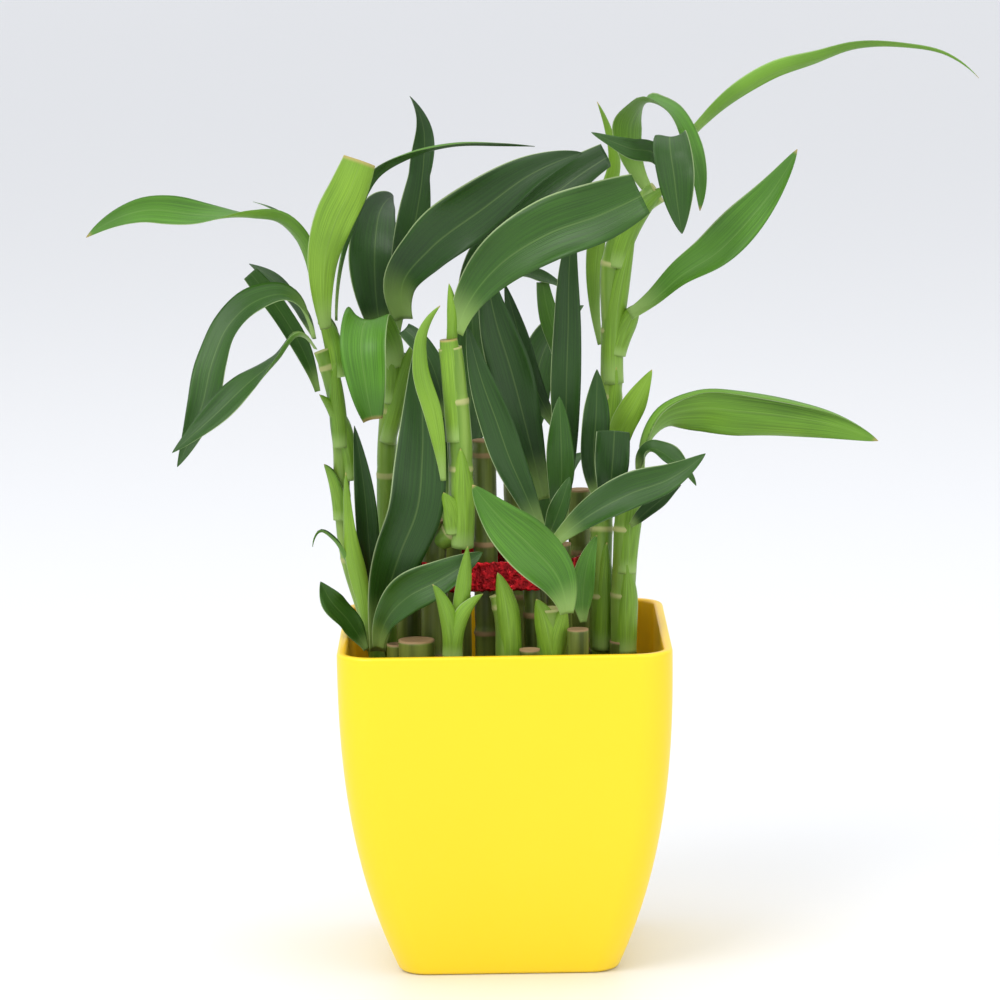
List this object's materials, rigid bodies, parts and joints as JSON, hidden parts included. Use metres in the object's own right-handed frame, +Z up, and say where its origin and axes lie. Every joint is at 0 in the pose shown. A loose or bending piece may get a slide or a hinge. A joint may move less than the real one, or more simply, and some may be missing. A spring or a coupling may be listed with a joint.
{
  "type": "lucky bamboo in pot",
  "caption": "Lucky bamboo: a ribbon-tied bundle of cut canes with leafy green shoots, standing in soil in a square flower pot.",
  "frame": {"origin": "centre of the pot's flat underside", "axes": "+Z up along the plant, -Y towards the plant's front, +X to the right seen from the front"},
  "size_m": [0.3056, 0.114, 0.3178],
  "materials": {
    "pot": "satin moulded yellow plastic",
    "soil": "crumbly dark potting soil",
    "ribbon": "crinkled red foil ribbon",
    "cane": "green cane with tan node rings",
    "leaf": "glossy leaf with fine parallel veins"
  },
  "bodies": {
    "root": {"pot": "pot", "soil": "soil", "ribbon": "ribbon", "tall_cane_left": "cane", "tall_cane_front_left": "cane", "tall_cane_front": "cane", "tall_cane_slim": "cane", "tall_cane_front_right": "cane", "tall_cane_right": "cane", "tall_cane_back_left": "cane", "tall_cane_back": "cane", "ring_cane_left": "cane", "ring_cane_left_back": "cane", "ring_cane_back_left": "cane", "cut_cane_front_left": "cane", "cut_cane_left": "cane", "ring_cane_front_left": "cane", "cut_cane_front": "cane", "ring_cane_front": "cane", "ring_cane_front_right": "cane", "ring_cane_right_front": "cane", "ring_cane_corner": "cane", "ring_cane_right": "cane", "ring_cane_back_right": "cane", "ring_cane_back": "cane", "ring_cane_back_middle": "cane", "rosette_leaf_low": "leaf", "rosette_leaf_pale": "leaf", "rosette_leaf_dark": "leaf", "rosette_leaf_broad": "leaf", "rosette_leaf_right": "leaf", "left_leaf_upright": "leaf", "left_leaf_far": "leaf", "left_leaf_short": "leaf", "left_leaf_droop_high": "leaf", "left_leaf_droop_low": "leaf", "front_leaf_droop": "leaf", "back_leaf_upright": "leaf", "twisted_leaf": "leaf", "arching_leaf_thin": "leaf", "broad_leaf_left": "leaf", "broad_leaf_behind": "leaf", "narrow_leaf_bright": "leaf", "middle_leaf_left": "leaf", "broad_leaf_glossy": "leaf", "arching_leaf_right": "leaf", "folded_leaf_top": "leaf", "wavy_leaf_left": "leaf", "wavy_leaf_down": "leaf", "spear_leaf_back": "leaf", "raised_leaf_right": "leaf", "tent_leaf_right": "leaf", "low_leaf_right": "leaf", "cupped_leaf": "leaf", "centre_leaf_tall": "leaf", "centre_leaf_short": "leaf", "centre_leaf_high": "leaf", "centre_leaf_low": "leaf", "front_leaf_bright": "leaf", "front_leaf_upright": "leaf"}
  },
  "joints": []
}
